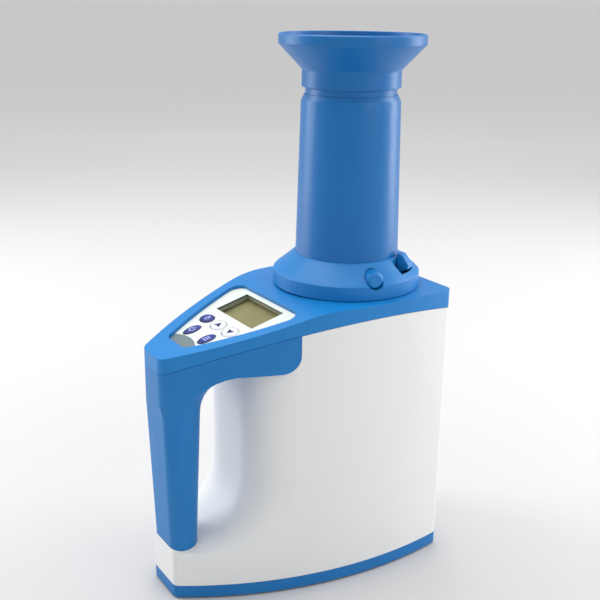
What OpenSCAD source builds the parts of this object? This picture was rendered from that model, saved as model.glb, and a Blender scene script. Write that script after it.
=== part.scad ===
// Portable grain moisture meter: a cup-type instrument with a lift-off drop
// tube and funnel, a through grip, and a sloped display panel.
// Lengths are in millimetres, X runs from the nose to the back, +Z is up.
// Inside the modules x is measured from the nose face; place() centres it.

/* [Body] */
// Length of the body, nose face to back face
body_l = 220; // [180:1:260]
// Width of the body at the measuring cup
body_w = 127; // [110:1:150]
// Distance of the drop tube's axis from the nose face
tube_x = 163.5; // [150:0.5:180]
// Radius of the curved sides in plan
side_r = 295; // [280:1:330]
// Radius of the cover's two nose corners
nose_r = 10; // [7:0.5:12]
// How far the foot's nose face stands back from the cover's
foot_x0 = 5; // [2:0.5:8]
// Radius of the two back corners
back_r = 5.5; // [5:0.5:10]
// Wall thickness of the white housing
housing_wall = 2.5; // [2:0.1:4]
// Underside of the base above the table
base_z = 1.5; // [1:0.1:3]
// Top of the base's coloured band
base_top = 11; // [8:0.5:14]

/* [Top cover] */
// Height of the flat deck that carries the drop tube
deck_z = 217; // [200:1:230]
// Slope of the panel deck in degrees
deck_slope = 15; // [8:1:20]
// Place where the sloped deck meets the flat deck
bend_x = 107.5; // [95:0.5:115]
// Height of the cover's lower seam at the nose
seam_nose_z = 176.3; // [175:0.1:180]
// Height of the seam at its highest point
seam_top_z = 206.9; // [200:0.1:209]
// Distance of the seam's highest point from the nose face
seam_top_x = 157; // [140:1:175]
// Thickness of the cover's roof
roof_t = 4; // [3:0.5:5]

/* [Grip] */
// Depth of the grip from nose to fingers, under the arm
grip_d = 31.5; // [26:0.5:33]
// Width of the grip under the arm
grip_w = 43; // [38:1:46]
// Depth of the grip at its foot
grip_foot_d = 22.1; // [21:0.1:26]
// Width of the grip at its foot
grip_foot_w = 38; // [34:1:42]
// Radius of the flare between the grip and the arm
flare_r = 30; // [20:1:32]
// Height of the arm's underside
arm_z = 174.4; // [170:0.2:176]
// How far the arm runs back from the nose
arm_x = 89.3; // [84:0.1:92]
// Wall thickness of the two handle shells
grip_wall = 3; // [2.5:0.1:4]

/* [Finger gap] */
// Radius of the housing's front corners in plan
front_r = 42; // [30:1:50]
// Place of the front corners' centres
front_cx = 103; // [95:1:110]
// Place of the axis of the cove at the foot
cove_x = 14; // [8:1:20]
// Height of the axis of the cove at the foot
cove_z = 86; // [76:1:100]

/* [Drop tube] */
// Overall height of the instrument
total_h = 400; // [380:1:420]
// Outer radius at the tube's top
tube_top_r = 36.3; // [34:0.1:38]
// Outer radius at the tube's foot
tube_foot_r = 38.8; // [36:0.1:40]
// Bore radius at the top of the tube
bore_top_r = 31.5; // [29:0.1:33]
// Bore radius at the foot of the tube
bore_foot_r = 33.8; // [31:0.1:35]
// Outer radius of the collar
collar_r = 55.5; // [50:0.5:58]
// Height of the collar's upright band
collar_band = 11; // [8:0.5:14]
// Height where the collar's cone meets the tube
collar_top = 240.5; // [236:0.5:245]
// Outer radius of the funnel's rim
rim_r = 53.1; // [48:0.1:56]
// Height of the funnel's rim band
rim_h = 7.4; // [5:0.1:10]

/* [Panel] */
// Margin of the panel inside the body's outline
panel_margin = 9.2; // [8.6:0.2:12]
// Front edge of the panel
panel_x0 = 16; // [15:0.5:25]
// Back edge of the panel
panel_x1 = 94.5; // [85:0.5:98]
// Display opening along the slope
lcd_l = 27; // [22:0.5:32]
// Display opening across the panel
lcd_w = 52; // [45:0.5:56]
// Depth of the panel's surface below the deck
panel_depth = 2.6; // [1.5:0.1:3]
// Depth of the display window below the panel
lcd_depth = 4.6; // [4:0.1:7]
// Pitch of the three keys in the back row
key_pitch = 17.2; // [16:0.1:18]
// Travel of each key
key_travel = 0.4; // [0.3:0.1:0.6]
// How far the flange under each key stands out
key_flange = 0.8; // [0.5:0.1:1]

/* [Measuring cell] */
// Inner radius of the measuring cup
cup_r = 31.5; // [28:0.5:33]
// Radius of the centre electrode
rod_r = 9.5; // [6:0.5:12]
// Height of the cup's floor
cup_z = 66; // [60:1:80]
// Height of the cup's rim
cup_top = 186; // [170:1:190]

/* [Trap] */
// Height of the trap's hinge pin
pin_z = 222; // [221:0.5:224]
// Radius of the trap's hinge pin
pin_r = 1.5; // [1:0.1:2]
// Clearance of a turning part on its pin
run_gap = 0.08; // [0.02:0.01:0.1]

/* [Hidden] */
$fn = 96;
half_w = body_w / 2;
arc_y = side_r - half_w;
slack = 0.3;
seam_drop = seam_top_z - seam_nose_z;
seam_r = (pow(seam_top_x, 2) + pow(seam_drop, 2)) / (2 * seam_drop);
grip_front_r = 9;
grip_back_r = 11;
grip_foot_z = 38.5;
grip_gap = 0.5;
grip_x0 = foot_x0 + 0.2;
foot_r = 6;
plug_z = 24;
front_cy = sqrt(pow(side_r - front_r, 2) - pow(tube_x - front_cx, 2)) - arc_y + 0.5;
front_x = front_cx - front_r;
side_steps = 32;
neck_r = 36;
neck_z0 = 362.7;
neck_z1 = 375;
tube_lip_z = 357.8;
tube_lip_r = 33.9;
tube_chamfer_z = 353.1;
socket_r = 33.3;
socket_z = 340;
spigot_r = 33.2;
tube_foot_z = 219.6;
collar_z = deck_z + 0.5;
collar_wall = 2.6;
button_a = -102;
button_z = 231.5;
button_r = 6.3;
tab_a0 = -61;
tab_sweep = 11;
tab_travel = 10;
row_a = -57.2;
row_b = -73;
key_row_a = [key_pitch, 0, -key_pitch];
key_row_b = [11.2, -11.2];
key_a = [10.4, 13.8];
key_b = [14, 9.6];
lcd_u0 = -44.4;
plate_w = -panel_depth;
plate_t = 1.5;
ledge_w = plate_w - plate_t - 0.1;
window_w = plate_w - lcd_depth;
dome_w = ledge_w - 4;
screw_r = 1.5;
base_floor_z = base_z + 2.6;
cell_beam_z = 34;
aa_r = 7.1;
aa_l = 49.2;
aa_pitch = 14.3;
aa_x0 = 66.4;
aa_z = 12.6;

// ---------------------------------------------------------------- helpers

module place() {
  translate([-body_l / 2, 0, 0])
    children();
}

module at_tube() {
  translate([tube_x, 0, 0])
    children();
}

// The frame of the sloped deck: x up the slope, z out of the deck.
module on_deck() {
  translate([bend_x, 0, deck_z])
    rotate([0, -deck_slope, 0])
      children();
}

// Points of an arc about [cx, cy] from angle a0 to a1 in n steps.
function arc(cx, cy, r, a0, a1, n) = [
  for (i = [0:n])
    let (a = a0 + (a1 - a0) * i / n)
      [cx + r * cos(a), cy + r * sin(a)]
];

// A half outline above the X axis, followed by its mirror image.
function mirrored(half) = concat(half, [
  for (i = [len(half) - 1:-1:0])
    [half[i][0], -half[i][1]]
]);

// Upper half of a plan shape with the body's curved sides. It runs from x0 to
// x1 with corner radii r0 and r1, m inside the body, and is inset by d.
function side_points(x0, x1, r0, r1, m, d) =
  let (
    r = side_r - m,
    c0x = x0 + r0,
    c1x = x1 - r1,
    c0y = sqrt(pow(r - r0, 2) - pow(tube_x - c0x, 2)) - arc_y,
    c1y = sqrt(pow(r - r1, 2) - pow(c1x - tube_x, 2)) - arc_y,
    a0 = atan2(c0y + arc_y, c0x - tube_x),
    a1 = atan2(c1y + arc_y, c1x - tube_x),
    step = (a0 - a1) / side_steps
  )
  concat(
    arc(c1x, c1y, r1 - d, 0, a1, 8),
    arc(tube_x, -arc_y, r - d, a1 + step, a0 - step, side_steps - 2),
    arc(c0x, c0y, r0 - d, a0, 180, 8)
  );

// Plan outline of the cover and the arm, inset by d.
module outline_block(d, z0, z1) {
  translate([0, 0, z0])
    linear_extrude(z1 - z0)
      polygon(mirrored(side_points(0, body_l, nose_r, back_r, 0, d)));
}

// The same outline with the foot's nose, for the housing and the base.
module foot_block(d, z0, z1) {
  translate([0, 0, z0])
    linear_extrude(z1 - z0)
      polygon(mirrored(side_points(foot_x0, body_l, foot_r, back_r, 0, d)));
}

// Side view below the deck, sunk by d square to each surface. The bend is a
// short run of flats on a radius of r.
module deck_profile(d = 0, r = 120) {
  t = r * tan(deck_slope / 2);
  bx = bend_x + d * tan(deck_slope / 2);
  nose_dz = (bx + 20) * tan(deck_slope);
  steps = 10;
  bend = [
    for (i = [0:steps])
      let (a = 90 + deck_slope * i / steps)
        [bx + t + r * cos(a), deck_z - d - r + r * sin(a)]
  ];
  polygon(concat(
    [[-20, 0], [body_l + 20, 0], [body_l + 20, deck_z - d]],
    bend,
    [[-20, deck_z - d - nose_dz]]
  ));
}

// Side view below the seam between cover and housing, grown by d.
module seam_profile(d = 0) {
  polygon(concat(
    [[-20, 0], [body_l + 20, 0]],
    arc(
      seam_top_x, seam_top_z - seam_r, seam_r + d,
      acos((body_l + 20 - seam_top_x) / seam_r), acos((-20 - seam_top_x) / seam_r), 24
    )
  ));
}

module side_extrude() {
  translate([0, half_w + 10, 0])
    rotate([90, 0, 0])
      linear_extrude(body_w + 20)
        children();
}

// A rectangle from x0 to x1, w wide, with corner radii r0 in front and r1.
function rounded_rect(x0, x1, w, r0, r1) = mirrored(concat(
  arc(x1 - r1, w / 2 - r1, r1, 0, 90, 10),
  arc(x0 + r0, w / 2 - r0, r0, 90, 180, 10)
));

// A solid through rings of points of equal number, from the lowest upwards.
module loft(rings) {
  n = len(rings[0]);
  top = (len(rings) - 1) * n;
  polyhedron(
    points = [for (ring = rings) for (p = ring) p],
    faces = concat(
      [[for (i = [0:n - 1]) i]],
      [
        for (k = [0:n:top - n])
          for (i = [0:n - 1])
            let (j = (i + 1) % n)
              [k + i, k + n + i, k + n + j]
      ],
      [
        for (k = [0:n:top - n])
          for (i = [0:n - 1])
            let (j = (i + 1) % n)
              [k + i, k + n + j, k + j]
      ],
      [[for (i = [n - 1:-1:0]) top + i]]
    )
  );
}

module oval(l, w) {
  polygon([
    for (a = [0:7.5:352.5])
      [l / 2 * cos(a), w / 2 * sin(a)]
  ]);
}

module screw(head_r, head_h, len) {
  cylinder(r = head_r, h = head_h);
  translate([0, 0, head_h])
    cylinder(r = screw_r, h = len - head_h);
}

// ------------------------------------------------- finger gap and housing

// Plan of what is taken away in front of the housing.
module gap_plan(d, x0) {
  tx = tube_x + (front_cx - tube_x) * (side_r - d) / (side_r - front_r);
  polygon(mirrored(concat(
    [[x0, half_w + 5], [tx, half_w + 5]],
    arc(front_cx, front_cy, front_r - d, acos((tx - front_cx) / (front_r - d)), 180, 14)
  )));
}

module finger_gap(d) {
  translate([0, 0, cove_z])
    linear_extrude(deck_z - cove_z)
      gap_plan(d, -20);
  translate([cove_x, 0, cove_z])
    rotate([90, 0, 0])
      rotate_extrude($fn = 180)
        translate([-cove_x, 0])
          gap_plan(d, cove_x);
}

// Side view of the handle's arm, grown by g.
module arm_profile(g = 0) {
  r = 13;
  difference() {
    translate([-20, arm_z - g])
      square([arm_x + g + 20, 60]);
    difference() {
      translate([arm_x + g - r, arm_z - g - 1])
        square([r + 1, r + 1]);
      translate([arm_x + g - r, arm_z - g + r])
        circle(r);
    }
  }
}

base_posts = [[50, 35], [50, -35], [208, 53], [208, -53]];
board_posts = [[28, 78], [-28, 78], [28, 158], [-28, 158]];
board_x = 74;

module housing_outer() {
  difference() {
    intersection() {
      foot_block(0, base_top, deck_z);
      side_extrude()
        seam_profile(0);
    }
    finger_gap(0);
    side_extrude()
      arm_profile(0.2);
  }
}

module housing_cavity() {
  difference() {
    foot_block(housing_wall, base_top - 1, deck_z);
    finger_gap(housing_wall);
  }
}

// Plan of the grip at height z, inset by d, as points.
function grip_ring(z, d) =
  let (
    t = (z - grip_foot_z) / (arm_z - grip_foot_z),
    x0 = grip_x0 + t * (grip_gap - grip_x0),
    len = grip_foot_d + t * (grip_d - grip_foot_d),
    w = grip_foot_w + t * (grip_w - grip_foot_w)
  )
  rounded_rect(x0 + d, x0 + len - d, w - 2 * d, grip_front_r - d, grip_back_r - d);

// Rings of the tapered grip, which flares into the arm on an arc.
function grip_rings(d) = [
  for (s = concat([[grip_foot_z, 0]], [
    for (a = [0:12:84])
      [arm_z + flare_r * (sin(a) - 1), flare_r * (1 - cos(a))]
  ], [[arm_z + grip_wall + 1, flare_r * (1 - cos(86))]]))
    [for (p = grip_ring(s[0], d - s[1])) [p[0], p[1], s[0]]]
];

module grip_plan(d) {
  polygon(grip_ring(grip_foot_z, d));
}

module main_housing() {
  color([0.92, 0.92, 0.91])
    place()
      difference() {
        union() {
          difference() {
            housing_outer();
            housing_cavity();
          }
          intersection() {
            housing_outer();
            union() {
              translate([0, 0, plug_z - 3])
                linear_extrude(grip_foot_z - plug_z + 6)
                  grip_plan(1);
              for (p = base_posts)
                translate([p[0], p[1], 15.3])
                  cylinder(r = 6, h = 20);
              for (p = board_posts)
                translate([front_x + 1, p[0], p[1]])
                  rotate([0, 90, 0])
                    cylinder(r = 4, h = board_x - front_x - 1);
            }
          }
        }
        translate([0, 0, plug_z - 0.2])
          linear_extrude(40)
            grip_plan(grip_wall - 0.2);
        translate([0, 0, grip_foot_z - 0.1])
          linear_extrude(30)
            grip_plan(-0.15);
        for (p = base_posts)
          translate([p[0], p[1], 15])
            cylinder(r = screw_r + 0.05, h = 12);
        for (p = board_posts)
          translate([board_x - 8, p[0], p[1]])
            rotate([0, 90, 0])
              cylinder(r = screw_r + 0.05, h = 10);
      }
}

// ------------------------------------------------------------------- base

feet = [[26, 17], [26, -17], [196, 47], [196, -47]];
door_x0 = 66;
door_x1 = 124.6;
door_w = 61;
door_axis_x = 127.6;
door_axis_z = 4.1;
door_pin_r = 1.2;
barrel_r = 2.4;

// The door's hinge ears, standing on the base's floor behind the door.
module door_ears() {
  for (s = [-1, 1])
    difference() {
      union() {
        translate([door_axis_x, s * 26 - 3, base_z + 0.4])
          cube([4, 6, 5]);
        translate([door_axis_x, s * 26 + 3, door_axis_z])
          rotate([90, 0, 0])
            cylinder(r = barrel_r, h = 6);
      }
      translate([door_axis_x, s * 26 + 4, door_axis_z])
        rotate([90, 0, 0])
          cylinder(r = door_pin_r, h = 8);
    }
}

module base_tray() {
  difference() {
    foot_block(0, base_z, base_top - 0.1);
    foot_block(4.9, base_floor_z, base_top + 8);
  }
  difference() {
    foot_block(2.8, base_top - 2, base_top + 4);
    foot_block(4.9, base_top - 3, base_top + 5);
  }
  intersection() {
    foot_block(2.8, base_z, base_top + 4);
    for (p = base_posts)
      translate([p[0], p[1], base_z])
        cylinder(r = 6, h = base_top + 4 - base_z);
  }
}

module base_plate() {
  color([0.1, 0.42, 0.7])
    place() {
      difference() {
        base_tray();
        translate([door_x0 - 0.4, -door_w / 2 - 0.4, 0])
          cube([door_axis_x + 3 - door_x0, door_w + 0.8, 12]);
        for (p = feet)
          translate([p[0], p[1], 0])
            cylinder(r = 6.2, h = base_z + 1.5);
        for (p = base_posts) {
          translate([p[0], p[1], 0])
            cylinder(r = 3.3, h = base_z + 3.2);
          translate([p[0], p[1], 0])
            cylinder(r = screw_r + 0.15, h = 20);
        }
      }
      door_ears();
    }
}

module battery_door() {
  color([0.1, 0.42, 0.7])
    place()
      difference() {
        union() {
          translate([door_x0, -door_w / 2, base_z + 0.1])
            cube([door_x1 - door_x0 - 1, door_w, 2]);
          translate([door_x1 - 2, -22, base_z + 0.1])
            cube([door_axis_x - door_x1 + 2, 44, 2]);
          translate([door_axis_x, 22, door_axis_z])
            rotate([90, 0, 0])
              cylinder(r = barrel_r, h = 44);
          for (i = [0:4])
            translate([door_x0 + 5 + 2.4 * i, -12, base_z - 0.5])
              cube([1, 24, 1]);
        }
        translate([door_axis_x, 30, door_axis_z])
          rotate([90, 0, 0])
            cylinder(r = door_pin_r + run_gap, h = 60);
      }
}

module door_pin() {
  color([0.75, 0.76, 0.78])
    place()
      translate([door_axis_x, 29, door_axis_z])
        rotate([90, 0, 0])
          cylinder(r = door_pin_r, h = 58);
}

module rubber_feet() {
  color([0.12, 0.12, 0.13])
    place()
      for (p = feet)
        translate([p[0], p[1], 0])
          cylinder(r = 6, h = base_z + 1.5);
}

module base_screws() {
  color([0.75, 0.76, 0.78])
    place()
      for (p = base_posts)
        translate([p[0], p[1], base_z + 1.2])
          screw(3, 2, 22);
}

// -------------------------------------------------------------- top cover

module panel_plan(d) {
  polygon(mirrored(side_points(panel_x0, panel_x1, 7, 9, panel_margin, d)));
}

// A plan shape carried up the slope between two depths under the deck.
module deck_slab(w0, w1) {
  on_deck()
    translate([-bend_x, 0, w0])
      linear_extrude(w1 - w0)
        children();
}

module top_cover() {
  color([0.15, 0.52, 0.83])
    place()
      difference() {
        union() {
          difference() {
            intersection() {
              outline_block(0, 150, deck_z + 1);
              side_extrude()
                deck_profile(0);
            }
            side_extrude()
              seam_profile(0.25);
            intersection() {
              outline_block(3.2, 140, deck_z);
              side_extrude()
                deck_profile(roof_t);
            }
          }
          deck_slab(ledge_w - 2.3, 1 - roof_t)
            panel_plan(-3);
          intersection() {
            difference() {
              outline_block(3.2, arm_z + grip_wall + 0.2, deck_z);
              outline_block(5, 140, deck_z + 1);
            }
            side_extrude()
              difference() {
                deck_profile(roof_t - 1);
                seam_profile(-3);
              }
          }
        }
        deck_slab(ledge_w, 10)
          panel_plan(-0.2);
        deck_slab(-20, 0)
          panel_plan(1.5);
        at_tube()
          translate([0, 0, 180])
            cylinder(r = 40.3, h = 60);
      }
}

module panel_plate() {
  color([0.84, 0.87, 0.84])
    place()
      difference() {
        deck_slab(plate_w - plate_t, plate_w)
          panel_plan(0);
        on_deck()
          translate([lcd_u0, -lcd_w / 2, plate_w - 4])
            cube([lcd_l, lcd_w, 8]);
        key_holes(0.35, plate_w - 4, 2);
      }
}

module key_holes(g, w0, w1) {
  on_deck()
    translate([0, 0, w0]) {
      for (y = key_row_a)
        translate([row_a, y, 0])
          linear_extrude(w1 - w0)
            oval(key_a[0] + 2 * g, key_a[1] + 2 * g);
      for (y = key_row_b)
        translate([row_b, y, 0])
          linear_extrude(w1 - w0)
            oval(key_b[0] + 2 * g, key_b[1] + 2 * g);
    }
}

// A key: its body, the flange that keeps it in, and a slightly smaller top.
module key_cap(u, y, size) {
  foot_w = dome_w + 1 + key_travel;
  top_w = plate_w + 0.6;
  place()
    on_deck()
      translate([u, y, 0]) {
        translate([0, 0, foot_w])
          linear_extrude(top_w - 0.3 - foot_w)
            oval(size[0], size[1]);
        translate([0, 0, ledge_w - 1.8])
          linear_extrude(1.4)
            oval(size[0] + 2 * key_flange, size[1] + 2 * key_flange);
        translate([0, 0, top_w - 0.31])
          linear_extrude(0.31)
            oval(size[0] - 0.8, size[1] - 0.8);
      }
}

module key_power() {
  color([0.16, 0.18, 0.6])
    key_cap(row_b, key_row_b[0], key_b);
}

module key_menu() {
  color([0.16, 0.18, 0.6])
    key_cap(row_b, key_row_b[1], key_b);
}

module key_measure() {
  color([0.16, 0.18, 0.6])
    key_cap(row_a, key_row_a[0], key_a);
}

module key_up() {
  color([0.93, 0.93, 0.95])
    key_cap(row_a, key_row_a[1], key_a);
}

module key_down() {
  color([0.93, 0.93, 0.95])
    key_cap(row_a, key_row_a[2], key_a);
}

module key_domes() {
  color([0.78, 0.8, 0.82])
    place()
      on_deck()
        translate([0, 0, dome_w]) {
          for (y = key_row_a)
            translate([row_a, y, 0])
              cylinder(r1 = 3, r2 = 1.8, h = 0.7);
          for (y = key_row_b)
            translate([row_b, y, 0])
              cylinder(r1 = 3, r2 = 1.8, h = 0.7);
        }
}

module keypad_board() {
  color([0.1, 0.35, 0.2])
    place()
      on_deck()
        translate([0, 0, dome_w - 1.6])
          linear_extrude(1.6)
            intersection() {
              translate([-bend_x, 0])
                panel_plan(3.3);
              translate([-95, -40])
                square([46, 80]);
            }
}

module lcd_bezel() {
  color([0.25, 0.27, 0.27])
    place()
      on_deck()
        difference() {
          translate([lcd_u0 - 2, -lcd_w / 2 - 2, window_w])
            cube([lcd_l + 4, lcd_w + 4, lcd_depth - plate_t]);
          translate([lcd_u0, -lcd_w / 2, window_w - 1])
            cube([lcd_l, lcd_w, lcd_depth]);
        }
}

module display_window() {
  color([0.6, 0.62, 0.52])
    place()
      on_deck()
        translate([lcd_u0 - 2, -lcd_w / 2 - 2, window_w - 1])
          cube([lcd_l + 4, lcd_w + 4, 1]);
}

module lcd_module() {
  color([0.5, 0.5, 0.38])
    place()
      on_deck() {
        translate([lcd_u0 - 1.5, -lcd_w / 2 - 1.5, window_w - 4.8])
          cube([lcd_l + 3, lcd_w + 3, 3.8]);
        translate([lcd_u0 - 3, -lcd_w / 2 - 4, window_w - 6.4])
          cube([lcd_l + 6, lcd_w + 8, 1.7]);
      }
}

// ----------------------------------------------------------------- handle

module handle_solid() {
  intersection() {
    outline_block(0, 150, deck_z);
    side_extrude()
      intersection() {
        arm_profile(0);
        seam_profile(0);
      }
  }
  intersection() {
    loft(grip_rings(0));
    outline_block(0, 0, deck_z);
    side_extrude()
      seam_profile(0);
  }
  translate([0, 0, plug_z])
    linear_extrude(grip_foot_z - plug_z + 1)
      grip_plan(grip_wall);
}

module handle_hollow() {
  intersection() {
    outline_block(grip_wall, 150, deck_z);
    side_extrude()
      translate([-40, arm_z + grip_wall])
        square([160, 60]);
  }
  intersection() {
    loft(grip_rings(grip_wall + 1.5));
    outline_block(grip_wall, 0, deck_z);
  }
  translate([0, 0, plug_z + 3])
    linear_extrude(grip_foot_z - plug_z - 2)
      grip_plan(grip_wall + 3);
}

grip_posts = [[15, 60], [15, 108], [15, 156]];

module handle_core() {
  difference() {
    union() {
      difference() {
        handle_solid();
        handle_hollow();
      }
      for (p = grip_posts)
        translate([p[0], grip_foot_w / 2 - 1, p[1]])
          rotate([90, 0, 0])
            cylinder(r = 4.5, h = grip_foot_w - 2);
    }
    for (p = grip_posts) {
      translate([p[0], 30, p[1]])
        rotate([90, 0, 0])
          cylinder(r = 3.3, h = 14);
      translate([p[0], 30, p[1]])
        rotate([90, 0, 0])
          cylinder(r = screw_r + 0.05, h = 42);
    }
    translate([board_x + 2, -9, arm_z - 1])
      cube([4, 18, grip_wall + 2]);
  }
}

module handle_right_shell() {
  color([0.12, 0.48, 0.8])
    place()
      intersection() {
        handle_core();
        translate([-10, -80, 0])
          cube([120, 79.95, 230]);
      }
}

module handle_left_shell() {
  color([0.12, 0.48, 0.8])
    place()
      intersection() {
        handle_core();
        translate([-10, 0.05, 0])
          cube([120, 79.95, 230]);
      }
}

module handle_screws() {
  color([0.75, 0.76, 0.78])
    place()
      for (p = grip_posts)
        translate([p[0], 18.5, p[1]])
          rotate([90, 0, 0])
            screw(3, 2.5, 27);
}

// ------------------------------------------------------------ electronics

module main_board() {
  color([0.1, 0.35, 0.2])
    place()
      difference() {
        translate([board_x, -34, 70])
          cube([1.6, 68, 96]);
        for (p = board_posts)
          translate([board_x - 2, p[0], p[1]])
            rotate([0, 90, 0])
              cylinder(r = screw_r + 0.1, h = 6);
      }
}

module board_parts() {
  color([0.15, 0.15, 0.16])
    place()
      translate([board_x + 1.6, 0, 0]) {
        translate([0, -20, 100])
          cube([3, 18, 18]);
        translate([0, 6, 96])
          cube([2, 12, 9]);
        translate([0, -6, 128])
          cube([2, 10, 6]);
        translate([0, 14, 122])
          rotate([0, 90, 0])
            cylinder(r = 4, h = 10);
        translate([0, -10, 156])
          cube([5, 20, 6]);
      }
}

module ribbon_cable() {
  color([0.7, 0.7, 0.72])
    place()
      translate([board_x + 3.4, -8, 162])
        cube([0.8, 16, 30]);
}

module board_screws() {
  color([0.75, 0.76, 0.78])
    place()
      for (p = board_posts)
        translate([board_x + 3.6, p[0], p[1]])
          rotate([0, -90, 0])
            screw(2.8, 2, 9);
}

// --------------------------------------------------------- measuring cell

module measuring_cup() {
  color([0.78, 0.79, 0.8])
    place()
      at_tube()
        difference() {
          union() {
            translate([0, 0, cup_z])
              cylinder(r = cup_r + 1.5, h = cup_top - cup_z);
            translate([0, 0, cup_top - 2])
              cylinder(r = cup_r + 4, h = 2);
          }
          translate([0, 0, cup_z + 2])
            cylinder(r = cup_r, h = 200);
          translate([0, 0, cup_z - 1])
            cylinder(r = 8, h = 6);
          translate([-cup_r - 4, 0, cup_z + 50])
            rotate([0, 90, 0])
              cylinder(r = 2.2, h = 10);
        }
}

module cell_insulator() {
  color([0.94, 0.93, 0.88])
    place()
      at_tube()
        difference() {
          union() {
            translate([0, 0, cup_z + 2])
              cylinder(r = 14, h = 4);
            translate([0, 0, cup_z])
              cylinder(r = 7.9, h = 2.5);
          }
          translate([0, 0, cup_z - 1])
            cylinder(r = 2, h = 10);
        }
}

module centre_electrode() {
  color([0.8, 0.8, 0.82])
    place()
      at_tube()
        translate([0, 0, cup_z + 6]) {
          cylinder(r = rod_r, h = 90);
          translate([0, 0, 90])
            cylinder(r1 = rod_r, r2 = 2, h = 12);
          translate([0, 0, -5])
            cylinder(r = 1.9, h = 6);
        }
}

module mouth_ring() {
  color([0.12, 0.12, 0.13])
    place()
      at_tube()
        rotate_extrude()
          polygon([
            [cup_r, cup_top + 1], [cup_r + 6, cup_top + 1], [cup_r + 6, 206],
            [44, 206], [44, deck_z - roof_t - 0.2], [40.6, deck_z - roof_t - 0.2],
            [40.6, 210], [cup_r, 200]
          ]);
}

module temperature_probe() {
  color([0.8, 0.8, 0.82])
    place()
      at_tube()
        translate([-cup_r - 6, 0, cup_z + 50])
          rotate([0, 90, 0]) {
            cylinder(r = 2, h = 24);
            cylinder(r = 4, h = 4);
          }
}

module cup_bracket() {
  color([0.7, 0.71, 0.73])
    place()
      difference() {
        union() {
          at_tube()
            translate([0, 0, cup_z - 5])
              cylinder(r = 28, h = 5);
          translate([131, -8, cell_beam_z + 13])
            cube([16, 16, cup_z - cell_beam_z - 13.5]);
        }
        at_tube()
          translate([0, 0, cup_z - 10])
            cylinder(r = 5, h = 20);
        translate([139, 0, cell_beam_z])
          cylinder(r = screw_r + 0.1, h = 24);
      }
}

module load_cell() {
  color([0.82, 0.83, 0.85])
    place()
      difference() {
        translate([130, -6.35, cell_beam_z])
          cube([80, 12.7, 13]);
        for (x = [163, 177])
          translate([x, 10, cell_beam_z + 6.5])
            rotate([90, 0, 0])
              cylinder(r = 4.5, h = 20);
        translate([163, -10, cell_beam_z + 4.5])
          cube([14, 20, 4]);
        for (x = [139, 203])
          translate([x, 0, cell_beam_z - 4])
            cylinder(r = screw_r + 0.1, h = 20);
      }
}

module cell_pedestal() {
  color([0.7, 0.71, 0.73])
    place()
      difference() {
        translate([194, -10, base_floor_z])
          cube([18, 20, cell_beam_z - base_floor_z]);
        translate([203, 0, cell_beam_z - 10])
          cylinder(r = screw_r + 0.05, h = 20);
      }
}

module cell_screws() {
  color([0.75, 0.76, 0.78])
    place() {
      translate([203, 0, cell_beam_z + 15])
        rotate([180, 0, 0])
          screw(2.8, 2, 22);
      translate([139, 0, cell_beam_z - 2])
        screw(2.8, 2, 22);
    }
}

// -------------------------------------------------------------- batteries

module battery_tray() {
  color([0.12, 0.12, 0.13])
    place()
      difference() {
        translate([aa_x0 - 1.6, -31.5, base_floor_z])
          cube([4 * aa_pitch + 2.7, 63, 18.5]);
        translate([aa_x0, -29.5, base_floor_z - 1])
          cube([4 * aa_pitch + 0.2, 59, 17.5]);
      }
}

// Places each of the four cells; every second one is turned end for end.
module at_cells() {
  for (i = [0:3])
    translate([aa_x0 + 0.1 + aa_pitch * (i + 0.5), 0, aa_z])
      rotate([0, 0, 180 * (i % 2)])
        children();
}

module batteries() {
  color([0.2, 0.45, 0.25])
    place()
      at_cells()
        translate([0, 25.2, 0])
          rotate([90, 0, 0]) {
            cylinder(r = aa_r, h = aa_l);
            cylinder(r = 2.6, h = aa_l + 1.3);
          }
}

module battery_contacts() {
  color([0.8, 0.8, 0.75])
    place()
      at_cells()
        for (s = [0, 180])
          rotate([0, 0, s]) {
            translate([-5, 28.7, -5.5])
              cube([10, 0.6, 11]);
            translate([0, 28.8, 0])
              rotate([90, 0, 0])
                cylinder(r = 3, h = 3.3);
          }
}

// -------------------------------------------------------------- drop tube

module drop_tube() {
  color([0.13, 0.5, 0.82])
    place()
      at_tube()
        difference() {
          rotate_extrude()
            polygon([
              [bore_foot_r, tube_foot_z], [tube_foot_r, tube_foot_z],
              [tube_foot_r, collar_top - 1], [tube_top_r, tube_chamfer_z],
              [tube_lip_r, tube_lip_z], [socket_r, tube_lip_z],
              [socket_r, socket_z], [bore_top_r, socket_z]
            ]);
          translate([0, 60, pin_z])
            rotate([90, 0, 0])
              cylinder(r = pin_r, h = 120);
        }
}

module tube_collar() {
  band_z = collar_z + collar_band;
  color([0.16, 0.53, 0.84])
    place()
      at_tube()
        difference() {
          rotate_extrude()
            polygon([
              [collar_r - collar_wall, collar_z], [collar_r, collar_z],
              [collar_r, band_z - 1], [collar_r - 1.5, band_z + 0.6],
              [47, band_z + 6.2], [tube_foot_r + 1.4, collar_top],
              [tube_foot_r + 0.1, collar_top + 0.6],
              [tube_foot_r + 0.1, collar_top - 4.5],
              [46, band_z + 2.6],
              [collar_r - collar_wall, band_z - 2.5]
            ]);
          rotate([0, 0, button_a])
            translate([40, 0, button_z])
              rotate([0, 90, 0])
                cylinder(r = button_r + slack, h = 20);
          rotate([0, 0, tab_a0 - tab_travel - 1.2])
            rotate_extrude(angle = tab_travel + tab_sweep + 2)
              polygon([[40.9, 222], [51, 222], [51, 250], [40.9, 250]]);
        }
}

module locating_ring() {
  color([0.12, 0.12, 0.13])
    place()
      at_tube()
        rotate_extrude()
          polygon([
            [34.6, 211.5], [40, 211.5], [40, collar_z], [52.6, collar_z],
            [52.6, collar_z + 1.8], [34.6, collar_z + 1.8]
          ]);
}

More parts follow.
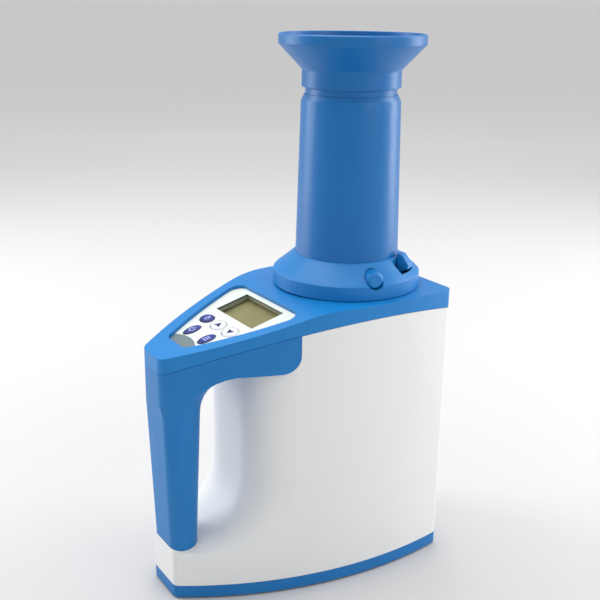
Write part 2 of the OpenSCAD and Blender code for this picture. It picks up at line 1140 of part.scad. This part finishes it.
module trap_pin() {
  color([0.78, 0.79, 0.8])
    place()
      at_tube()
        translate([0, 38.4, pin_z])
          rotate([90, 0, 0])
            cylinder(r = pin_r, h = 76.8);
}

// One half of the trap, with its hinge barrels between y pairs.
module trap_flap(barrels) {
  at_tube()
    difference() {
      union() {
        intersection() {
          translate([0, 0, pin_z + 0.9])
            cylinder(r = bore_foot_r - 0.7, h = 2);
          translate([-50, -50, pin_z])
            cube([50 - 3.4, 100, 5]);
        }
        intersection() {
          union() {
            for (b = barrels) {
              translate([0, b[1], pin_z])
                rotate([90, 0, 0])
                  cylinder(r = 3, h = b[1] - b[0]);
              translate([-6, b[0], pin_z + 0.9])
                cube([6, b[1] - b[0], 2]);
            }
          }
          translate([0, 0, pin_z - 4])
            cylinder(r = bore_foot_r - 0.7, h = 8);
        }
      }
      translate([0, 40, pin_z])
        rotate([90, 0, 0])
          cylinder(r = pin_r + run_gap, h = 80);
    }
}

module trap_flap_left() {
  color([0.72, 0.74, 0.76])
    place()
      trap_flap([[-30, -15.2], [0.2, 14.8]]);
}

module trap_flap_right() {
  color([0.72, 0.74, 0.76])
    place()
      translate([tube_x, 0, 0])
        rotate([0, 0, 180])
          translate([-tube_x, 0, 0])
            trap_flap([[-30, -15.2], [0.2, 14.8]]);
}

module reset_lever() {
  color([0.12, 0.47, 0.78])
    place()
      at_tube() {
        rotate_extrude()
          polygon([
            [tube_foot_r + 0.4, 220.2], [45, 220.2],
            [45, 223.2], [tube_foot_r + 0.4, 223.2]
          ]);
        rotate([0, 0, tab_a0])
          rotate_extrude(angle = tab_sweep)
            polygon([
              [41.3, 223], [44.9, 223], [44.9, 230], [50.6, 232.5],
              [50.6, 236.4], [46, 243], [41.3, 244.5]
            ]);
      }
}

module release_button() {
  color([0.18, 0.55, 0.86])
    place()
      at_tube()
        rotate([0, 0, button_a])
          translate([43.6, 0, button_z])
            rotate([0, 90, 0]) {
              cylinder(r = button_r, h = 8.8);
              translate([0, 0, 8.8])
                cylinder(r1 = button_r, r2 = button_r - 1.6, h = 1.6);
              translate([0, 0, -1.4])
                cylinder(r = 2, h = 2);
            }
}

module button_spring() {
  color([0.78, 0.79, 0.8])
    place()
      at_tube()
        rotate([0, 0, button_a])
          for (i = [0:3])
            translate([39.3 + i * 1.15, 0, button_z])
              rotate([0, 90, 0])
                difference() {
                  cylinder(r = 3.4, h = 0.7);
                  translate([0, 0, -1])
                    cylinder(r = 2.5, h = 3);
                }
}

module funnel() {
  color([0.2, 0.55, 0.86])
    place()
      at_tube()
        rotate_extrude()
          polygon([
            [bore_top_r, socket_z + 0.3], [spigot_r, socket_z + 0.3],
            [spigot_r, neck_z0], [neck_r, neck_z0], [neck_r, neck_z1],
            [rim_r - 0.8, total_h - rim_h - 0.6], [rim_r, total_h - rim_h],
            [rim_r, total_h - 1], [rim_r - 1, total_h],
            [rim_r - 2.4, total_h], [rim_r - 3.2, total_h - rim_h - 1],
            [bore_top_r, neck_z1 - 1]
          ]);
}

main_housing();
base_plate();
top_cover();
handle_left_shell();
handle_right_shell();
panel_plate();
lcd_bezel();
display_window();
lcd_module();
keypad_board();
key_domes();
key_power();
key_menu();
key_measure();
key_up();
key_down();
main_board();
board_parts();
ribbon_cable();
measuring_cup();
centre_electrode();
cell_insulator();
mouth_ring();
temperature_probe();
cup_bracket();
load_cell();
cell_pedestal();
battery_tray();
battery_contacts();
batteries();
battery_door();
door_pin();
rubber_feet();
base_screws();
handle_screws();
board_screws();
cell_screws();
drop_tube();
tube_collar();
locating_ring();
trap_pin();
trap_flap_left();
trap_flap_right();
reset_lever();
release_button();
button_spring();
funnel();
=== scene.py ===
import math

import bmesh
import bpy
from mathutils import Euler, Matrix, Vector


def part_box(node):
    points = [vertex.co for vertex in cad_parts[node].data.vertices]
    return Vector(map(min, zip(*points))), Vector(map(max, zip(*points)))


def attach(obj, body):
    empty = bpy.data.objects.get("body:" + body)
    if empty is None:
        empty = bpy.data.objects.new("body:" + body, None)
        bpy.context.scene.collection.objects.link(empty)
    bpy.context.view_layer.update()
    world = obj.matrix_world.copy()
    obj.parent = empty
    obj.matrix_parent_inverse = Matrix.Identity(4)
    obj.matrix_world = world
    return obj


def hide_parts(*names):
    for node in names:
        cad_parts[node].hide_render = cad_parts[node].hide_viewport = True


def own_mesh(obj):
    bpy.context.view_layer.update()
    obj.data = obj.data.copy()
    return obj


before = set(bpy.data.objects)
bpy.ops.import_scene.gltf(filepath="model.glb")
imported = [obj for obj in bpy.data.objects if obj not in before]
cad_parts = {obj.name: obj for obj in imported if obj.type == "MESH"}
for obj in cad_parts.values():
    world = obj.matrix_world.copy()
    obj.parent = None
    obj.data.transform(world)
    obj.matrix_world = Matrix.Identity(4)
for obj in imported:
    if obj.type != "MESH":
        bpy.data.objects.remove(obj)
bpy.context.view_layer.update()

MM = 0.001

# ------------------------------------------------------------------ the deck
# The sloped deck's own frame, from the panel plate: u runs up the slope, v
# across the panel and w out of it. Its origin is on the plate's top face.

SLOPE = math.radians(15)
U_AXIS = Vector((math.cos(SLOPE), 0, math.sin(SLOPE)))
V_AXIS = Vector((0, 1, 0))
W_AXIS = Vector((-math.sin(SLOPE), 0, math.cos(SLOPE)))


def node_corners(name):
    """Every vertex of a CAD node, in the row frame."""
    return [v.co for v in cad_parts[name].data.vertices]


def node_centre(name):
    low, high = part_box(name)
    return (Vector(low) + Vector(high)) / 2


def height_along(name, axis):
    """The furthest that a node reaches along an axis."""
    return max(axis.dot(co) for co in node_corners(name))


PLATE_TOP = height_along("panel_plate", W_AXIS)
PLATE_NOSE = min(U_AXIS.dot(co) for co in node_corners("panel_plate"))


def deck_matrix(u, v, w):
    """Places a flat piece on the deck with its x axis up the slope."""
    turn = Matrix((U_AXIS, V_AXIS, W_AXIS)).transposed().to_4x4()
    return Matrix.Translation(U_AXIS * u + V_AXIS * v + W_AXIS * w) @ turn


def key_place(name):
    """(u, v, w) of the middle of a key's top."""
    middle = node_centre(name)
    return U_AXIS.dot(middle), middle.y, height_along(name, W_AXIS)


# ----------------------------------------------------------------- materials


def linear(r, g, b):
    """A display colour of 0 to 255 as scene linear RGBA."""
    def one(value):
        value /= 255
        return value / 12.92 if value <= 0.04045 else ((value + 0.055) / 1.055) ** 2.4
    return (one(r), one(g), one(b), 1)


class Nodes:
    """A small helper that builds one material's node tree."""

    def __init__(self, name):
        self.material = bpy.data.materials.new(name)
        self.material.use_nodes = True
        self.tree = self.material.node_tree
        self.tree.nodes.clear()
        self.output = self.add("ShaderNodeOutputMaterial")
        self.shader = self.add("ShaderNodeBsdfPrincipled")
        self.link(self.shader.outputs["BSDF"], self.output.inputs["Surface"])
        self.coords = self.add("ShaderNodeTexCoord").outputs["Object"]

    def add(self, kind, **settings):
        node = self.tree.nodes.new(kind)
        for key, value in settings.items():
            setattr(node, key, value)
        return node

    def link(self, start, end):
        self.tree.links.new(start, end)

    def noise(self, size, detail=3.0, stretch=None):
        """A noise whose features are about size metres across."""
        where = self.coords
        if stretch is not None:
            mapping = self.add("ShaderNodeMapping")
            mapping.inputs["Scale"].default_value = stretch
            self.link(where, mapping.inputs["Vector"])
            where = mapping.outputs["Vector"]
        node = self.add("ShaderNodeTexNoise")
        node.inputs["Scale"].default_value = 1 / size
        node.inputs["Detail"].default_value = detail
        self.link(where, node.inputs["Vector"])
        return node.outputs["Fac"]

    def ramp(self, fac, stops):
        node = self.add("ShaderNodeValToRGB")
        band = node.color_ramp
        for i, (place, colour) in enumerate(stops):
            stop = band.elements[i] if i < 2 else band.elements.new(place)
            stop.position = place
            stop.color = colour
        self.link(fac, node.inputs["Fac"])
        return node.outputs["Color"]

    def between(self, fac, low, high):
        node = self.add("ShaderNodeMapRange")
        node.inputs["To Min"].default_value = low
        node.inputs["To Max"].default_value = high
        self.link(fac, node.inputs["Value"])
        return node.outputs["Result"]

    def mix(self, fac, a, b):
        node = self.add("ShaderNodeMix", data_type="RGBA")
        self.plug(fac, node.inputs[0])
        self.plug(a, node.inputs[6])
        self.plug(b, node.inputs[7])
        return node.outputs[2]

    def plug(self, value, socket):
        if isinstance(value, bpy.types.NodeSocket):
            self.link(value, socket)
        else:
            socket.default_value = value

    def math(self, operation, a, b=0.0):
        node = self.add("ShaderNodeMath", operation=operation)
        self.plug(a, node.inputs[0])
        self.plug(b, node.inputs[1])
        return node.outputs[0]

    def along(self, axis, origin=0.0):
        """Distance along an axis in the object's own space, less origin."""
        node = self.add("ShaderNodeVectorMath", operation="DOT_PRODUCT")
        self.link(self.coords, node.inputs[0])
        node.inputs[1].default_value = axis
        return self.math("SUBTRACT", node.outputs["Value"], origin)

    def bump(self, heights):
        """Chains bumps, each (factor, strength, depth in metres)."""
        normal = None
        for fac, strength, depth in heights:
            node = self.add("ShaderNodeBump")
            node.inputs["Strength"].default_value = strength
            node.inputs["Distance"].default_value = depth
            self.link(fac, node.inputs["Height"])
            if normal is not None:
                self.link(normal, node.inputs["Normal"])
            normal = node.outputs["Normal"]
        self.link(normal, self.shader.inputs["Normal"])

    def set(self, **values):
        for key, value in values.items():
            self.shader.inputs[key.replace("_", " ")].default_value = value


def moulded(name, colour, roughness=0.42, shade=0.93, grain=0.25):
    """Satin moulded plastic: a fine spark-eroded grain, faint flow lines and rubbed patches."""
    n = Nodes(name)
    dark = tuple(c * shade for c in colour[:3]) + (1,)
    flow = n.noise(0.06, 2.0, stretch=(1, 1, 0.35))
    n.link(n.ramp(flow, [(0.3, dark), (0.7, colour)]), n.shader.inputs["Base Color"])
    rubbed = n.noise(0.018, 5.0)
    n.link(n.between(rubbed, roughness - 0.06, roughness + 0.08), n.shader.inputs["Roughness"])
    n.bump([
        (n.noise(0.00045, 2.0), grain, 0.00003),
        (n.noise(0.02, 2.0), 0.08, 0.0002),
    ])
    n.set(Specular_IOR_Level=0.4)
    return n.material


def metal(name, colour, roughness, stretch):
    """Drawn or turned metal with fine lines along the tool's path."""
    n = Nodes(name)
    lines = n.noise(0.0006, 3.0, stretch=stretch)
    dark = tuple(c * 0.75 for c in colour[:3]) + (1,)
    n.link(n.ramp(lines, [(0.3, dark), (0.7, colour)]), n.shader.inputs["Base Color"])
    n.link(n.between(lines, roughness - 0.05, roughness + 0.12), n.shader.inputs["Roughness"])
    n.bump([(lines, 0.2, 0.00002)])
    n.set(Metallic=1.0)
    return n.material


def circuit(name):
    """Green solder mask with faint copper tracks."""
    n = Nodes(name)
    tracks = n.add("ShaderNodeTexBrick")
    tracks.inputs["Scale"].default_value = 160
    tracks.inputs["Mortar Size"].default_value = 0.03
    tracks.inputs["Color1"].default_value = linear(20, 84, 52)
    tracks.inputs["Color2"].default_value = linear(17, 74, 46)
    tracks.inputs["Mortar"].default_value = linear(48, 120, 70)
    n.link(n.coords, tracks.inputs["Vector"])
    n.link(tracks.outputs["Color"], n.shader.inputs["Base Color"])
    n.set(Roughness=0.35)
    n.bump([(tracks.outputs["Fac"], 0.2, 0.00004)])
    return n.material


def rubber(name, colour):
    n = Nodes(name)
    worn = n.noise(0.004, 4.0)
    pale = tuple(c * 1.6 + 0.01 for c in colour[:3]) + (1,)
    n.link(n.ramp(worn, [(0.35, colour), (0.75, pale)]), n.shader.inputs["Base Color"])
    n.link(n.between(worn, 0.6, 0.85), n.shader.inputs["Roughness"])
    n.bump([(n.noise(0.0005, 2.0), 0.4, 0.00004)])
    return n.material


def printed_panel(name):
    """Cream film with a printed grey patch at the nose end; below the film the plate is painted
    dark grey, a painted shade on the walls of its openings.
    """
    n = Nodes(name)
    speck = n.noise(0.0012, 3.0)
    cream = n.ramp(speck, [(0.3, linear(214, 222, 214)), (0.7, linear(222, 229, 221))])
    grey = n.ramp(speck, [(0.3, linear(100, 118, 122)), (0.7, linear(110, 128, 132))])
    patch_u = PLATE_NOSE - 18 * MM
    patch_r = 30 * MM
    du = n.along(U_AXIS, patch_u)
    dv = n.along(V_AXIS, 1.5 * MM)
    reach = n.math("SQRT", n.math("ADD", n.math("MULTIPLY", du, du), n.math("MULTIPLY", dv, dv)))
    inside = n.math("LESS_THAN", reach, patch_r)
    film = n.mix(inside, cream, grey)
    # painted shade: below the film's top 0.15 mm, the LCD opening's walls and the plate's edges
    # are painted dark grey
    depth = n.along(W_AXIS, PLATE_TOP - 0.15 * MM)
    on_film = n.math("GREATER_THAN", depth, 0.0)
    n.link(n.mix(on_film, linear(78, 84, 86), film), n.shader.inputs["Base Color"])
    n.link(n.between(speck, 0.3, 0.4), n.shader.inputs["Roughness"])
    n.bump([(n.noise(0.0004, 2.0), 0.12, 0.00002)])
    return n.material


def key_plastic(name, rim, middle):
    """A rubber-coated key, lighter in the middle than at its rim, about the object's own box."""
    n = Nodes(name)
    generated = n.add("ShaderNodeTexCoord").outputs["Generated"]
    centred = n.add("ShaderNodeVectorMath", operation="SUBTRACT")
    n.link(generated, centred.inputs[0])
    centred.inputs[1].default_value = (0.5, 0.5, 0.5)
    flat = n.add("ShaderNodeVectorMath", operation="MULTIPLY")
    n.link(centred.outputs[0], flat.inputs[0])
    flat.inputs[1].default_value = (1, 1, 0)
    length = n.add("ShaderNodeVectorMath", operation="LENGTH")
    n.link(flat.outputs[0], length.inputs[0])
    n.link(
        n.ramp(length.outputs["Value"], [(0.0, middle), (0.3, middle), (0.43, rim)]),
        n.shader.inputs["Base Color"],
    )
    n.set(Roughness=0.36)
    n.bump([(n.noise(0.0004, 2.0), 0.12, 0.00002)])
    return n.material


def display(name):
    """The unlit reflective display: olive, with a faint fine grain under it."""
    n = Nodes(name)
    cloud = n.noise(0.02, 2.0)
    n.link(
        n.ramp(cloud, [(0.3, linear(140, 136, 92)), (0.7, linear(152, 147, 106))]),
        n.shader.inputs["Base Color"],
    )
    n.set(Roughness=0.3)
    n.bump([(n.noise(0.0006, 1.0), 0.08, 0.00002)])
    return n.material


def window(name):
    """Clear acrylic with the faint haze of fine wiping marks."""
    n = Nodes(name)
    wiped = n.noise(0.003, 4.0, stretch=(1, 4, 1))
    n.link(n.between(wiped, 0.02, 0.08), n.shader.inputs["Roughness"])
    n.set(Base_Color=(0.97, 0.98, 0.95, 1), Transmission_Weight=1.0, IOR=1.08)
    return n.material


def ink_and_painted_shadow(name, colour):
    n = Nodes(name)
    ink = n.noise(0.0006, 2.0)
    pale = tuple(c * 1.12 + 0.004 for c in colour[:3]) + (1,)
    n.link(n.ramp(ink, [(0.35, colour), (0.7, pale)]), n.shader.inputs["Base Color"])
    n.link(n.between(ink, 0.32, 0.45), n.shader.inputs["Roughness"])
    return n.material


def battery_jacket(name):
    """A printed sleeve with a copper-coloured band at one end."""
    n = Nodes(name)
    across = n.math("ABSOLUTE", n.along(V_AXIS))
    band = n.math("GREATER_THAN", across, 18 * MM)
    n.link(n.mix(band, linear(34, 92, 58), linear(196, 140, 92)), n.shader.inputs["Base Color"])
    n.set(Roughness=0.28, Metallic=0.3)
    n.bump([(n.noise(0.001, 2.0), 0.05, 0.00002)])
    return n.material


MATERIALS = {
    "housing": moulded("housing_white", linear(228, 229, 229), 0.42, 0.975),
    "cover": moulded("cover_blue", linear(8, 122, 194), 0.4),
    "handle": moulded("handle_blue", linear(6, 116, 186), 0.4),
    "base": moulded("base_blue", linear(8, 112, 182), 0.42),
    "tube": moulded("tube_blue", linear(2, 106, 176), 0.36),
    "collar": moulded("collar_blue", linear(10, 122, 194), 0.38),
    "funnel": moulded("funnel_blue", linear(3, 104, 172), 0.38),
    "trim": moulded("trim_black", linear(38, 40, 43), 0.45),
    "bezel": moulded("bezel_grey", linear(150, 152, 128), 0.5),
    "panel": printed_panel("panel_film"),
    "navy": key_plastic("key_navy", linear(12, 18, 84), linear(34, 46, 136)),
    "white_key": key_plastic("key_white", linear(212, 214, 226), linear(242, 242, 250)),
    "display": display("display_olive"),
    "window": window("window_clear"),
    "circuit": circuit("circuit_green"),
    "parts": moulded("chip_black", linear(30, 30, 32), 0.5),
    "ribbon": moulded("ribbon_grey", linear(170, 172, 176), 0.5),
    "steel": metal("steel_bright", (0.62, 0.63, 0.65, 1), 0.28, (1, 1, 12)),
    "alloy": metal("alloy_turned", (0.76, 0.77, 0.79, 1), 0.32, (1, 1, 30)),
    "insulator": moulded("insulator_ivory", linear(232, 228, 214), 0.5),
    "rubber": rubber("foot_rubber", linear(28, 28, 30)),
    "battery": battery_jacket("battery_sleeve"),
    "ink": ink_and_painted_shadow("key_ink", linear(14, 18, 84)),
    "pale_ink": ink_and_painted_shadow("key_pale_ink", linear(176, 186, 232)),
    # painted shadow grey for the rings around the white keys
    "painted_shadow_grey": ink_and_painted_shadow("painted_shadow_ring_grey", linear(138, 146, 160)),
}
NODE_MATERIALS = {
    "housing": ["main_housing"],
    "cover": ["top_cover"],
    "handle": ["handle_left_shell", "handle_right_shell"],
    "base": ["base_plate", "battery_door"],
    "tube": ["drop_tube"],
    "collar": ["tube_collar", "reset_lever", "release_button"],
    "funnel": ["funnel"],
    "trim": ["mouth_ring", "locating_ring", "battery_tray"],
    "bezel": ["lcd_bezel"],
    "panel": ["panel_plate"],
    "navy": ["key_power", "key_menu", "key_measure"],
    "white_key": ["key_up", "key_down"],
    "display": ["lcd_module"],
    "window": ["display_window"],
    "circuit": ["keypad_board", "main_board"],
    "parts": ["board_parts"],
    "ribbon": ["ribbon_cable"],
    "steel": [
        "key_domes", "temperature_probe", "battery_contacts", "door_pin", "base_screws",
        "handle_screws", "board_screws", "cell_screws", "trap_pin", "button_spring",
    ],
    "alloy": [
        "measuring_cup", "centre_electrode", "cup_bracket", "load_cell", "cell_pedestal",
        "trap_flap_left", "trap_flap_right",
    ],
    "insulator": ["cell_insulator"],
    "rubber": ["rubber_feet"],
    "battery": ["batteries"],
}
# How far each node's moulded edges are rounded over, in metres.
EDGE_ROUNDS = {
    "top_cover": 0.003,
    "handle_left_shell": 0.0012,
    "handle_right_shell": 0.0012,
    "main_housing": 0.0008,
    "base_plate": 0.0012,
    "tube_collar": 0.0009,
    "drop_tube": 0.0008,
    "funnel": 0.0010,
    "reset_lever": 0.0010,
    "release_button": 0.0007,
    "panel_plate": 0.0002,
    "battery_door": 0.0003,
    "lcd_bezel": 0.0002,
}


def finish_node(name, material):
    """Gives a CAD node its material, smooth shading and softened edges."""
    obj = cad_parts[name]
    obj.data.materials.clear()
    obj.data.materials.append(material)
    weld = obj.modifiers.new("weld", "WELD")
    weld.merge_threshold = 0.000002
    flats = obj.modifiers.new("flats", "DECIMATE")
    flats.decimate_type = "DISSOLVE"
    flats.angle_limit = math.radians(0.4)
    if name in EDGE_ROUNDS:
        bevel = obj.modifiers.new("edges", "BEVEL")
        bevel.width = EDGE_ROUNDS[name]
        bevel.segments = 3
        bevel.limit_method = "ANGLE"
        bevel.angle_limit = math.radians(32)
        bevel.harden_normals = False
        bevel.use_clamp_overlap = True
    normals = obj.modifiers.new("normals", "WEIGHTED_NORMAL")
    normals.mode = "FACE_AREA"
    normals.weight = 50


for kind, names in NODE_MATERIALS.items():
    for node_name in names:
        finish_node(node_name, MATERIALS[kind])

# --------------------------------------------------------------- print marks and painted shadow rings


# the prints and the painted shadow rings share this thickness
SHEET_HALF = 0.06 * MM  # half the thickness of a print
STROKE = 0.7 * MM  # width of a symbol's lines


def flat_piece(name, polygons, matrix, material, body):
    """A thin raised sheet made of flat outlines, each a list of (x, y) in metres; it carries the
    prints and the painted shadow rings.
    """
    mesh = bpy.data.meshes.new(name)
    bm = bmesh.new()
    for outline in polygons:
        low = [bm.verts.new(matrix @ Vector((x, y, -SHEET_HALF))) for x, y in outline]
        high = [bm.verts.new(matrix @ Vector((x, y, SHEET_HALF))) for x, y in outline]
        bm.faces.new(list(reversed(low)))
        bm.faces.new(high)
        count = len(outline)
        for i in range(count):
            j = (i + 1) % count
            bm.faces.new((low[i], low[j], high[j], high[i]))
    bmesh.ops.recalc_face_normals(bm, faces=bm.faces)
    bm.to_mesh(mesh)
    bm.free()
    obj = bpy.data.objects.new(name, mesh)
    bpy.context.scene.collection.objects.link(obj)
    mesh.materials.append(material)
    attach(obj, body)
    return obj


def band(radius_x, radius_y, width, start, end, steps=40):
    """An open elliptical band from one angle to another, in degrees."""
    outer, inner = [], []
    for i in range(steps + 1):
        a = math.radians(start + (end - start) * i / steps)
        outer.append((radius_x * math.cos(a), radius_y * math.sin(a)))
        inner.append(((radius_x - width) * math.cos(a), (radius_y - width) * math.sin(a)))
    return outer + inner[::-1]


def bar(x, y, length, width):
    """A rectangle about (x, y)."""
    return [
        (x - length / 2, y - width / 2), (x + length / 2, y - width / 2),
        (x + length / 2, y + width / 2), (x - length / 2, y + width / 2),
    ]


def arrow(direction):
    """A notched arrowhead that points up the slope (1) or down it (-1)."""
    half = 3.9 * MM
    depth = 5.2 * MM * direction
    tip, tail, notch = depth * 0.6, -depth * 0.4, -depth * 0.28
    points = [(tip, 0), (tail, half), (notch, 0), (tail, -half)]
    return points if direction > 0 else points[::-1]


def power_symbol():
    """A ring open up the slope, with a bar through the gap."""
    ring_r = 2.6 * MM
    return [band(ring_r, ring_r, STROKE, 40, 320), bar(2.0 * MM, 0, ring_r, STROKE)]


def menu_symbol():
    """Three bars."""
    pitch = 1.9 * MM
    return [bar(x, 0, STROKE, 5.0 * MM) for x in (-pitch, 0, pitch)]


def measure_symbol():
    """A drop: an open ring under a point."""
    ring_r = 2.0 * MM
    shoulder_u, shoulder_v, point_u = 1.0 * MM, 1.7 * MM, 3.4 * MM
    point = [(shoulder_u, shoulder_v), (shoulder_u, -shoulder_v), (point_u, 0)]
    return [band(ring_r, ring_r, STROKE, 50, 310), point]


def mark_key(name, node, outlines, ink):
    """Prints a symbol on top of a key, so that it moves with the key."""
    flat_piece(name, outlines, deck_matrix(*key_place(node)), MATERIALS[ink], node)


def paint_key_shadow_ring(node):
    """Paints a thin grey ring on the panel around a key: a painted shadow of the key's edge."""
    u, v, _ = key_place(node)
    ring_u, ring_v, width = 6.25 * MM, 7.95 * MM, 0.45 * MM
    # painted shadow: a grey ring on the panel standing in for the shadow around the key
    flat_piece(
        node + "_ring", [band(ring_u, ring_v, width, 0, 359.5, 72)],
        deck_matrix(u, v, PLATE_TOP), MATERIALS["painted_shadow_grey"], "meter_body",
    )


mark_key("power_symbol", "key_power", power_symbol(), "pale_ink")
mark_key("menu_symbol", "key_menu", menu_symbol(), "pale_ink")
mark_key("measure_symbol", "key_measure", measure_symbol(), "pale_ink")
for arrow_key, arrow_direction in (("key_up", 1), ("key_down", -1)):
    mark_key(arrow_key + "_symbol", arrow_key, [arrow(arrow_direction)], "ink")
    # paints a shadow ring on the panel around each white key
    paint_key_shadow_ring(arrow_key)

# ----------------------------------------------------------------- the spring


def coil(name, foot, axis, length, radius, wire, turns, material):
    """A round-wire compression spring from foot, along axis, with its ends closed."""
    side = Vector((0, 0, 1))
    across = axis.cross(side).normalized()
    steps = turns * 20
    sides = 8
    mesh = bpy.data.meshes.new(name)
    bm = bmesh.new()
    rings = []
    for i in range(steps + 1):
        t = i / steps
        turn = 2 * math.pi * turns * t
        out = across * math.cos(turn) + side * math.sin(turn)
        middle = foot + axis * (wire + (length - 2 * wire) * t) + out * radius
        ring = []
        for k in range(sides):
            a = 2 * math.pi * k / sides
            ring.append(bm.verts.new(middle + (out * math.cos(a) + axis * math.sin(a)) * wire))
        rings.append(ring)
    for low, high in zip(rings, rings[1:]):
        for k in range(sides):
            j = (k + 1) % sides
            bm.faces.new((low[k], low[j], high[j], high[k]))
    bm.faces.new(rings[0])
    bm.faces.new(rings[-1])
    bmesh.ops.recalc_face_normals(bm, faces=bm.faces)
    for face in bm.faces:
        face.smooth = True
    bm.to_mesh(mesh)
    bm.free()
    obj = bpy.data.objects.new(name, mesh)
    bpy.context.scene.collection.objects.link(obj)
    mesh.materials.append(material)
    return obj


def make_spring():
    """The coil behind the release button, riding with the drop tube."""
    length = 4.1 * MM
    middle = node_centre("button_spring")
    outwards = middle - node_centre("drop_tube")
    axis = Vector((outwards.x, outwards.y, 0)).normalized()
    foot = middle - axis * length / 2
    spring = coil("spring_coil", foot, axis, length, 3.0 * MM, 0.3 * MM, 4, MATERIALS["steel"])
    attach(spring, "drop_tube")
    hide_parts("button_spring")
    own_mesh(spring)


make_spring()

# --------------------------------------------------------- camera and studio


CAMERA_PLACE = (-0.3542, -0.5643, 0.4233)
CAMERA_DOWN = math.radians(17.537)
CAMERA_TURN = math.radians(32.303)
CAMERA_ROLL = math.radians(0.669)
LIGHTS_AIM = (0.0, 0.0, 0.2)


def make_camera():
    data = bpy.data.cameras.new("camera")
    data.sensor_width = 36
    data.lens = 56.594
    data.shift_x = 0.018
    data.shift_y = -0.0068
    data.clip_start = 0.01
    obj = bpy.data.objects.new("camera", data)
    obj.location = CAMERA_PLACE
    level = Euler((math.radians(90) - CAMERA_DOWN, 0, -CAMERA_TURN), "XYZ").to_matrix()
    roll = Matrix.Rotation(CAMERA_ROLL, 3, "Z")
    obj.rotation_euler = (level @ roll).to_euler("XYZ")
    bpy.context.scene.collection.objects.link(obj)
    bpy.context.scene.camera = obj


def soft_light(name, place, size, power):
    """A white soft box aimed at the middle of the object."""
    data = bpy.data.lights.new(name, "AREA")
    data.shape = "RECTANGLE"
    data.size = size[0]
    data.size_y = size[1]
    data.energy = power
    obj = bpy.data.objects.new(name, data)
    obj.location = place
    aim = Vector(LIGHTS_AIM) - Vector(place)
    obj.rotation_euler = aim.to_track_quat("-Z", "Y").to_euler()
    bpy.context.scene.collection.objects.link(obj)


def make_floor():
    """A floor out to the horizon, with painted light: darker near the object as painted shade,
    and paler the further it is from the lights as painted light.
    """
    half_size = 60.0
    shaded_near_grey = (0.56, 0.56, 0.565, 1)
    lit_far_grey = (0.96, 0.96, 0.96, 1)
    painted_light_per_metre = 0.42
    mesh = bpy.data.meshes.new("floor")
    bm = bmesh.new()
    bmesh.ops.create_grid(bm, x_segments=8, y_segments=8, size=half_size)
    bm.to_mesh(mesh)
    bm.free()
    n = Nodes("floor_painted_light")
    x = n.along((1, 0, 0))
    y = n.along((0, 1, 0))
    reach = n.math("SQRT", n.math("ADD", n.math("MULTIPLY", x, x), n.math("MULTIPLY", y, y)))
    mottled = n.between(n.noise(0.4, 2.0), 0.0, 0.02)
    # painted light: the floor's colour grows paler with distance from the lights and is painted
    # darker near the object
    painted_light_ramp = n.math("ADD", n.math("MULTIPLY", reach, painted_light_per_metre), mottled)
    n.link(n.ramp(painted_light_ramp, [(0.1, shaded_near_grey), (1.0, lit_far_grey)]), n.shader.inputs["Base Color"])
    n.set(Roughness=0.7)
    mesh.materials.append(n.material)
    obj = bpy.data.objects.new("floor", mesh)
    bpy.context.scene.collection.objects.link(obj)


def make_world():
    """An even white surround, which fills the shadows."""
    world = bpy.data.worlds.new("studio")
    bpy.context.scene.world = world
    world.use_nodes = True
    back = world.node_tree.nodes["Background"]
    back.inputs["Color"].default_value = (1, 1, 1, 1)
    back.inputs["Strength"].default_value = 0.6


bpy.context.scene.view_settings.view_transform = "Standard"
make_camera()
make_floor()
make_world()
soft_light("left_box", (-0.87, 1.1, 0.55), (0.6, 1.4), 13)
soft_light("right_box", (1.37, -0.29, 0.55), (0.6, 1.4), 14)
soft_light("front_box", (0.5, -1.6, 0.8), (1.0, 1.0), 6)
soft_light("top_box", (0.0, 0.25, 1.4), (1.2, 1.2), 15)
